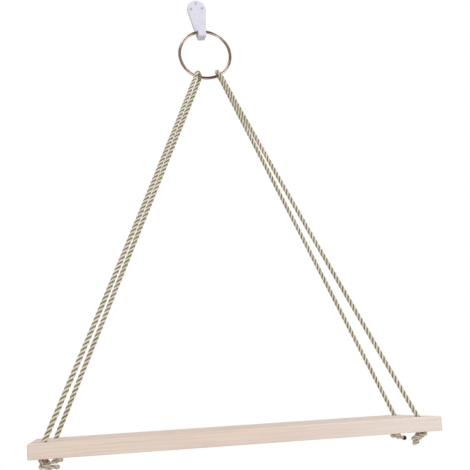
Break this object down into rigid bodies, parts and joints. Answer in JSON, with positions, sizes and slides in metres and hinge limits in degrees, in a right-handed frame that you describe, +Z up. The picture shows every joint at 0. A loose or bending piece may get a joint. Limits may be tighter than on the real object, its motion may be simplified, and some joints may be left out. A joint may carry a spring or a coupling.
{
  "type": "hanging rope shelf",
  "caption": "Wall-hung plank shelf on knotted ropes that meet at a metal ring, with the ring hung on a nailed plastic hook.",
  "frame": {"origin": "on the wall, in the middle of the hook's flat back", "axes": "+Z up, +X to the right of someone who faces the wall, +Y into the wall, so the shelf stands out towards -Y"},
  "size_m": [0.4204, 0.1335, 0.5588],
  "materials": {
    "plank": "fine-sanded pale softwood, unvarnished",
    "rope": "three-strand twisted beige rope with dark grooves",
    "ring": "polished wire",
    "hook": "smooth moulded plastic, pale lavender white",
    "nails": "bright hardened nails"
  },
  "bodies": {
    "hook": {"wall_hook": "hook", "nail_top": "nails", "nail_left": "nails", "nail_right": "nails"},
    "ring": {"metal_ring": "ring"},
    "sling": {"plank": "plank", "rope_left": "rope", "rope_right": "rope"}
  },
  "joints": [
    {"name": "ring_sway", "type": "hinge", "parent": "hook", "child": "ring", "pos_m": [0, -0.00655, -0.02595], "axis": [0, 1, 0], "range_deg": [-12, 12]},
    {"name": "sling_swing", "type": "hinge", "parent": "ring", "child": "sling", "pos_m": [0.00471, -0.01023, -0.07858], "axis": [-0.9959, -0.0055, -0.0905], "range_deg": [0, 25]}
  ]
}
